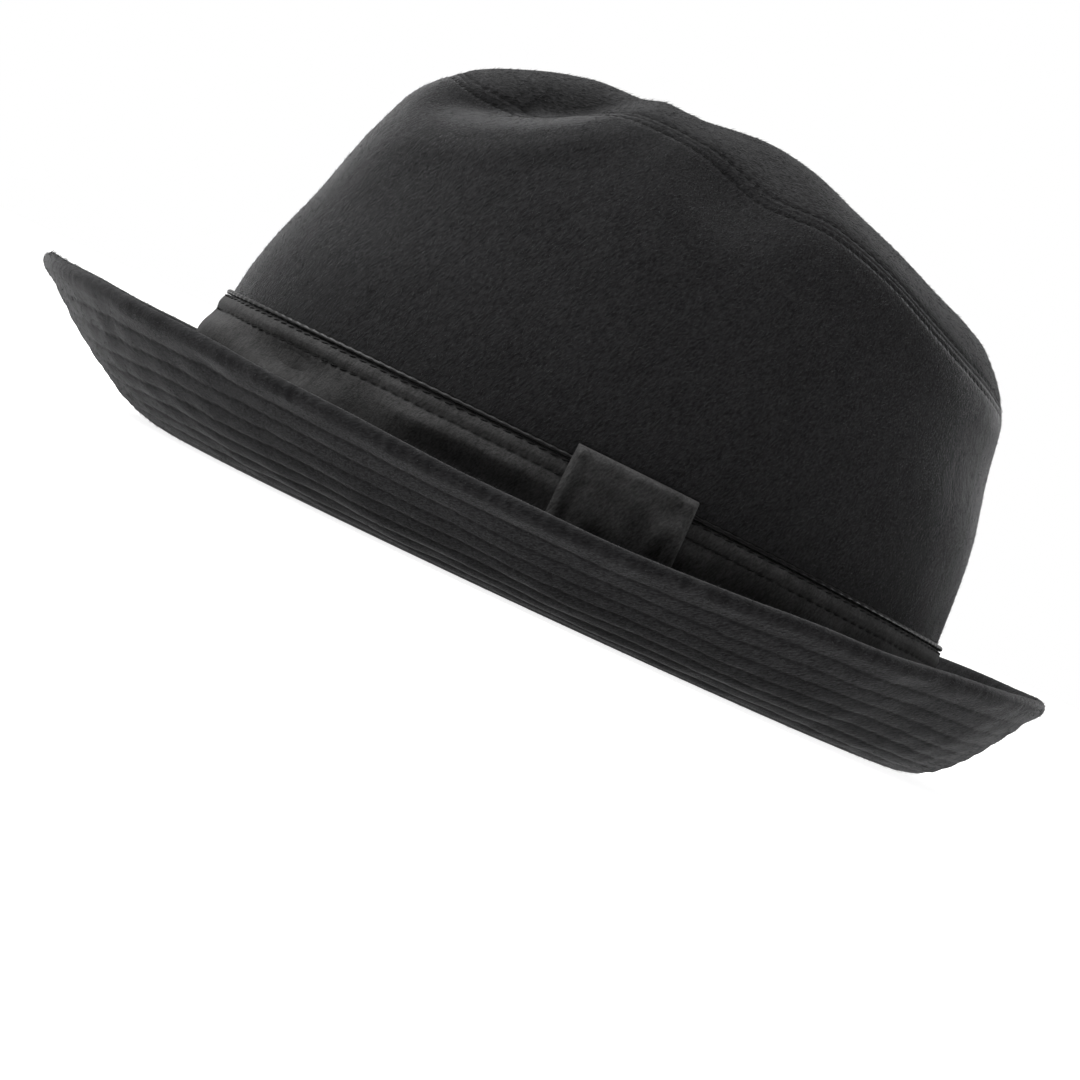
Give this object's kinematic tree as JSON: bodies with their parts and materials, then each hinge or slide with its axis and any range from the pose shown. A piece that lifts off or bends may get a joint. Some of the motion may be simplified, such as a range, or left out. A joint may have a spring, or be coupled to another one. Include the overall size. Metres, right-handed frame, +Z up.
{
  "type": "fedora",
  "caption": "Soft cloth fedora with a pinched, creased crown, a quilted brim turned up at its rim, and a leather band with piping and a side loop.",
  "frame": {"origin": "middle of the whole hat's outline seen from above, on the surface that the hat rests on", "axes": "+Y towards the back of the hat, so the front faces -Y; +X towards the wearer's left, where the loop is; +Z up"},
  "size_m": [0.2408, 0.2926, 0.1346],
  "materials": {
    "wool_side": "brushed wool cloth with a short nap",
    "wool_tip": "brushed wool cloth with a short nap",
    "wool_brim": "brushed wool cloth, quilted in rows of stitching",
    "band_leather": "matt pebbled leather",
    "piping_leather": "smooth folded leather edge, slightly glossy",
    "loop_leather": "matt pebbled leather"
  },
  "bodies": {
    "root": {"crown_side": "wool_side", "crown_tip": "wool_tip", "brim": "wool_brim", "hat_band": "band_leather", "band_piping": "piping_leather", "band_loop": "loop_leather"}
  },
  "joints": []
}
